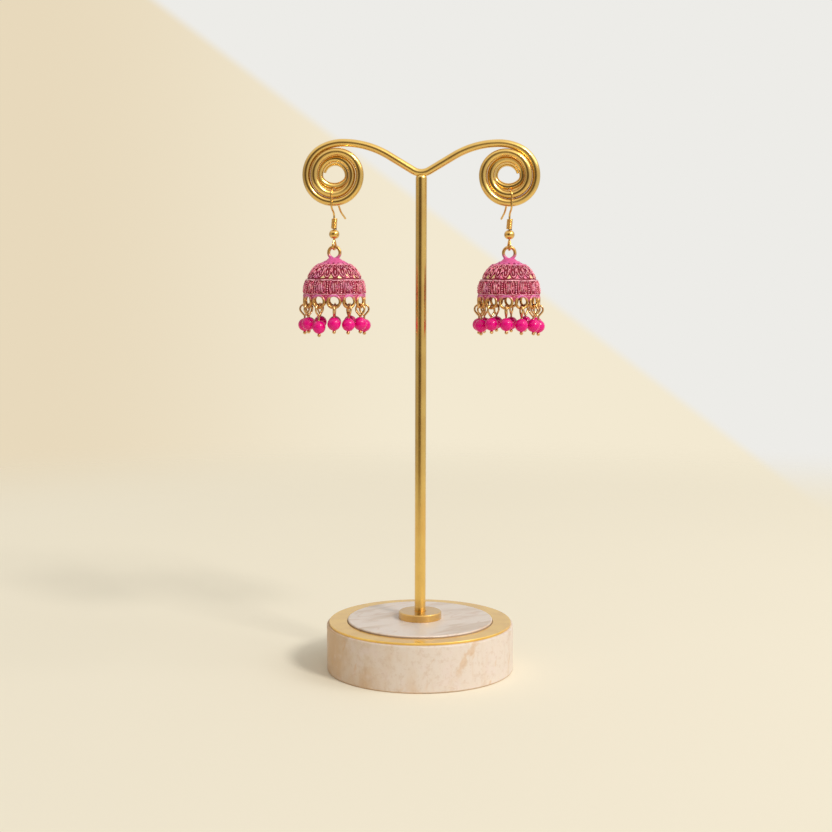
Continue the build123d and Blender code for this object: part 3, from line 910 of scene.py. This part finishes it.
def bell(side):
    """The enamelled bell: wall, petals, band, rails and webs in one mesh."""
    s = sizes()
    bm = bell_shell()
    mark_shell(bm)
    rails(bm)
    webs(bm)
    for pattern in (petal_pattern(s.petals), panel_pattern(s.panels)):
        loose = bpy.data.meshes.new("pattern")
        pattern.to_mesh(loose)
        pattern.free()
        bm.from_mesh(loose)
        bpy.data.meshes.remove(loose)
    relief = bm.verts.layers.float["relief"]
    cast_unevenly([v for v in bm.verts if v[relief] > 0.0], 0.9, 2 * s.unevenness / MM)
    bmesh.ops.transform(bm, matrix=hung(side, DOME_TURN[side]), verts=bm.verts[:])
    return bm


def pear(big, small, reach):
    """Centreline of a pear-shaped eye, wide end up, by the direction that its side faces."""
    limit = (big - small) / reach

    def line(out):
        if -out.y < limit:
            return out * big
        return out * small - Vector((0, reach, 0))

    return line


def bell_rings(side):
    """The cast rings under the rim and the bail on top."""
    bm = bmesh.new()
    upright = Matrix.Rotation(pi / 2, 4, "X")
    for k in range(SECTORS):
        turn = Matrix.Rotation(radians(360 * (k + 0.5) / SECTORS - 90), 4, "Z")
        place = turn @ Matrix.Translation((RING_R, 0, RING_Z)) @ Matrix.Rotation(pi / 2, 4, "Z") @ upright
        wire_ring(bm, (RING_W - RING_TUBE) / 2, RING_TUBE / 2, 40, 12, place)
    verts = shaped_ring(bm, pear(BAIL_BIG, BAIL_SMALL, BAIL_REACH), BAIL_WIRE / 2, 56, 14)
    bmesh.ops.transform(bm, matrix=Matrix.Translation((0, 0, BAIL_Z)) @ upright, verts=verts)
    cast_unevenly(bm.verts, 0.7, 0.04)
    bmesh.ops.transform(bm, matrix=hung(side, DOME_TURN[side]), verts=bm.verts[:])
    return bm


def wound_wire(side):
    """Fine wire wound round the stem of the ear wire, with both ends closed flat."""
    s = sizes()
    wire = s.wrap_wire / MM / 2
    bm = bmesh.new()
    start = Matrix.Translation((WRAP_D / 2 - wire, 0, wire)) @ Matrix.Rotation(pi / 2, 4, "X")
    made = bmesh.ops.create_circle(bm, cap_ends=True, radius=wire, segments=12, matrix=start)
    geom = made["verts"] + once(f for v in made["verts"] for f in v.link_faces)
    steps = 28 * s.wrap_turns
    bmesh.ops.spin(
        bm, geom=geom, cent=(0, 0, 0), axis=UP, dvec=(0, 0, (WRAP_H - 2 * wire) / steps),
        angle=2 * pi * s.wrap_turns, steps=steps, use_merge=False, use_duplicate=False,
    )
    middle = Matrix.Translation((hang_x(side), 0, WRAP_Z + WRAP_H / 2))
    place = middle @ Matrix.Rotation(radians(WRAP_LEAN), 4, "Y") @ Matrix.Translation((0, 0, -WRAP_H / 2))
    bmesh.ops.transform(bm, matrix=place, verts=bm.verts[:])
    return bm


# ---- operators: one for each piece or group of like pieces ----
def dress(material, *nodes):
    """Gives CAD nodes a material."""
    for name in nodes:
        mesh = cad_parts[name].data
        mesh.materials.clear()
        mesh.materials.append(material)


class JHUMKA_OT_marble_foot(bpy.types.Operator):
    """Gives the round foot its marble"""

    bl_idname = "jhumka.marble_foot"
    bl_label = "Marble foot"

    def execute(self, context):
        dress(marble_finish(), "marble_base")
        return {"FINISHED"}


class JHUMKA_OT_stand_metal(bpy.types.Operator):
    """Gives the ring and the collar their satin gold and bends the polished rod with its scrolls"""

    bl_idname = "jhumka.stand_metal"
    bl_label = "Stand metal"

    def execute(self, context):
        c = colours()
        dress(gold("ring_gold", tuple(c.ring_gold), 0.42, 0.22, 0.01), "base_ring")
        dress(gold("collar_gold", tuple(c.collar_gold), 0.34, 0.22, 0.006), "post_collar")
        polished = gold("polished_gold", tuple(c.stand_gold), 0.2, 0.5, 0.001, brush=6.0)
        piece = finished("bent_rod", stand_rods(), [polished], "stand")
        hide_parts("stand_frame")
        return {"FINISHED"}


class JHUMKA_OT_ear_wires(bpy.types.Operator):
    """Gives the ear wires and balls their gold and winds the wire above each ball"""

    bl_idname = "jhumka.ear_wires"
    bl_label = "Ear wires"

    def execute(self, context):
        material = gold("bright_gold", tuple(colours().wire_gold), 0.16, 0.25, 0.004)
        for side in SIDES:
            dress(material, f"{side}_ear_hook", f"{side}_hook_ball")
            piece = finished(f"{side}_wound_wire", wound_wire(side), [material], "stand", 60)
            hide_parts(f"{side}_hook_wrap")
        return {"FINISHED"}


class JHUMKA_OT_bells(bpy.types.Operator):
    """Builds the enamelled bells with their ornament, cast rings and bails"""

    bl_idname = "jhumka.bells"
    bl_label = "Bells"

    def execute(self, context):
        enamel, cast = enamel_finish(), cast_finish()
        for side in SIDES:
            skin = finished(f"{side}_bell", bell(side), [enamel], f"{side}_drop", 50)
            rings = finished(f"{side}_bell_rings", bell_rings(side), [cast], f"{side}_drop", 60)
            for piece in (skin, rings):
                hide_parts(f"{side}_dome")
        return {"FINISHED"}


class JHUMKA_OT_drops(bpy.types.Operator):
    """Gives the pins their gold and the beads their pink"""

    bl_idname = "jhumka.drops"
    bl_label = "Bead drops"

    def execute(self, context):
        pins = gold("pin_gold", tuple(colours().cast_gold), 0.26, 0.25, 0.01, tarnish=0.6)
        beads = bead_finish()
        for side in SIDES:
            dress(pins, f"{side}_head_pins")
            dress(beads, *[f"{side}_bead_{k + 1:02d}" for k in range(SECTORS)])
        return {"FINISHED"}


# ---- the stage ----
# where the sun stands, and the dim part of the room that the polished post mirrors on its left
SUN = (0.62, -0.66, 0.76)
DIM_CORNER = (-0.36, -0.92, 0.12)

# colours of the light from the room and from its dim corner
ROOM_TINT, CORNER_TINT = (1.0, 0.96, 0.88), (1.0, 0.8, 0.62)

# normal of the plane through the eye on which the two walls meet
EDGE = (0.5983, -0.0288, 0.8008)

# lens in millimetres on a sensor 36 mm wide, place in millimetres, yaw, pitch and roll in degrees, and shift
CAMERA = {
    "lens": 64.04, "place": (0, -468.2, 131.9), "yaw": 0, "pitch": 6.111, "roll": 0.17, "shift": -0.00558,
}

# what the lamps point at, in metres
LAMP_AIM = Vector((0, 0, 80 * MM))


def lamp(name, kind, place, power, **settings):
    """A lamp that points at the middle of the stand, from a place in metres."""
    light = bpy.data.lights.new(name, kind)
    light.energy = power
    for key, value in settings.items():
        setattr(light, key, value)
    thing = bpy.data.objects.new(name, light)
    thing.location = place
    thing.rotation_euler = (LAMP_AIM - Vector(place)).to_track_quat("-Z", "Y").to_euler()
    bpy.context.scene.collection.objects.link(thing)


def floor_finish():
    """Pale floor that fades into the backdrop's colour far from the object."""
    material, f = finish_for("pale_floor")
    place = f.point()
    x, y, _ = f.parts(place)
    far = ((x * x + y * y) ** 0.5).step(330.0, 620.0)
    soft = f.cloud(place, 120.0, 2.0)
    tone = tuple(colours().floor)
    body = f.blend(tone, tuple(c * 0.985 for c in tone), soft)
    matt = f.node("ShaderNodeBsdfDiffuse", None, {"Color": body})
    clear = f.node("ShaderNodeBsdfTransparent")
    both = f.node(
        "ShaderNodeMixShader", None,
        {0: far, 1: Term(f, matt.outputs[0]), 2: Term(f, clear.outputs[0])},
    )
    f.close(both)
    return material


def backdrop(world):
    """A cream wall, darker towards the left as painted shade, and a pale grey one at its upper right; metal
    mirrors a studio with a dim corner.
    """
    world.use_nodes = True
    f = Finish(world.node_tree)
    c = colours()
    toward = Term(f, f.node("ShaderNodeTexCoord").outputs["Generated"], "vector")
    x, y, z = f.parts(toward)
    # painted shade: the cream wall darkens towards the left
    cream = f.blend(tuple(c.shaded_wall_left), tuple(c.wall_right), x.step(-0.26, 0.02))
    beyond = (x * EDGE[0] + y * EDGE[1] + z * EDGE[2]).step(-0.004, 0.004)
    wall = f.blend(cream, tuple(c.grey_wall), beyond)
    path = f.node("ShaderNodeLightPath")
    seen, mirrored = Term(f, path.outputs["Is Camera Ray"]), Term(f, path.outputs["Is Glossy Ray"])
    dim = toward.facing(DIM_CORNER).step(cos(radians(40)), cos(radians(12)))
    glow = toward.facing(SUN).step(cos(radians(30)), cos(radians(12)))
    studio = (0.62 + x * 0.12 + z.step(0.1, 0.8) * 0.4) * (1.0 - dim * 0.8) + glow * 0.5
    room = 0.595 + x * 0.06
    level = seen + (1.0 - seen) * (mirrored * studio + (1.0 - mirrored) * room)
    air = f.blend(wall, ROOM_TINT, (1.0 - seen) * 0.7)
    air = f.blend(air, CORNER_TINT, dim * mirrored)
    light = f.node("ShaderNodeBackground", None, {"Color": air, "Strength": level})
    f.node("ShaderNodeOutputWorld", None, {"Surface": Term(f, light.outputs[0])})


class JHUMKA_OT_stage(bpy.types.Operator):
    """Lays the floor, lights the backdrop and sets up lamps and camera"""

    bl_idname = "jhumka.stage"
    bl_label = "Stage"

    def execute(self, context):
        scene = context.scene
        bm = bmesh.new()
        bmesh.ops.create_grid(bm, x_segments=8, y_segments=8, size=0.8)
        mesh = bpy.data.meshes.new("floor")
        bm.to_mesh(mesh)
        bm.free()
        mesh.materials.append(floor_finish())
        floor = bpy.data.objects.new("floor", mesh)
        scene.collection.objects.link(floor)

        world = bpy.data.worlds.new("studio")
        scene.world = world
        backdrop(world)
        lamp("key", "SUN", SUN, 1.42, angle=radians(12), color=(1.0, 0.965, 0.9))
        lamp("softbox", "AREA", (0.62, -0.18, 0.66), 1.7, shape="RECTANGLE", size=0.4, size_y=0.5)

        camera = bpy.data.cameras.new("camera")
        camera.sensor_width = 36
        camera.lens = CAMERA["lens"]
        camera.shift_x = CAMERA["shift"]
        camera.clip_start, camera.clip_end = 0.01, 20
        holder = bpy.data.objects.new("camera", camera)
        holder.matrix_world = (
            Matrix.Translation(Vector(CAMERA["place"]) * MM)
            @ Matrix.Rotation(radians(-CAMERA["yaw"]), 4, "Z")
            @ Matrix.Rotation(radians(90 - CAMERA["pitch"]), 4, "X")
            @ Matrix.Rotation(radians(CAMERA["roll"]), 4, "Z")
        )
        scene.collection.objects.link(holder)
        scene.camera = holder
        scene.view_settings.view_transform = "Standard"
        return {"FINISHED"}


STEPS = (
    JHUMKA_OT_marble_foot,
    JHUMKA_OT_stand_metal,
    JHUMKA_OT_ear_wires,
    JHUMKA_OT_bells,
    JHUMKA_OT_drops,
    JHUMKA_OT_stage,
)


class JHUMKA_PT_pieces(bpy.types.Panel):
    """Lists the pieces, their sizes and their colours"""

    bl_idname = "JHUMKA_PT_pieces"
    bl_label = "Jhumka earrings"
    bl_space_type = "VIEW_3D"
    bl_region_type = "UI"
    bl_category = "Jhumkas"

    def draw(self, context):
        for group in (context.scene.jewel_sizes, context.scene.jewel_colours):
            column = self.layout.column(align=True)
            for name in group.__annotations__:
                column.prop(group, name)
        for step in STEPS:
            self.layout.operator(step.bl_idname)


CLASSES = (JewelSizes, JewelColours, *STEPS, JHUMKA_PT_pieces)


def register():
    for cls in CLASSES:
        bpy.utils.register_class(cls)
    bpy.types.Scene.jewel_sizes = PointerProperty(type=JewelSizes)
    bpy.types.Scene.jewel_colours = PointerProperty(type=JewelColours)


def unregister():
    del bpy.types.Scene.jewel_colours
    del bpy.types.Scene.jewel_sizes
    for cls in reversed(CLASSES):
        bpy.utils.unregister_class(cls)


def main():
    register()
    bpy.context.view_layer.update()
    bpy.ops.jhumka.marble_foot()
    bpy.ops.jhumka.stand_metal()
    bpy.ops.jhumka.ear_wires()
    bpy.ops.jhumka.bells()
    bpy.ops.jhumka.drops()
    bpy.ops.jhumka.stage()
    bpy.context.view_layer.update()


if __name__ == "__main__":
    main()
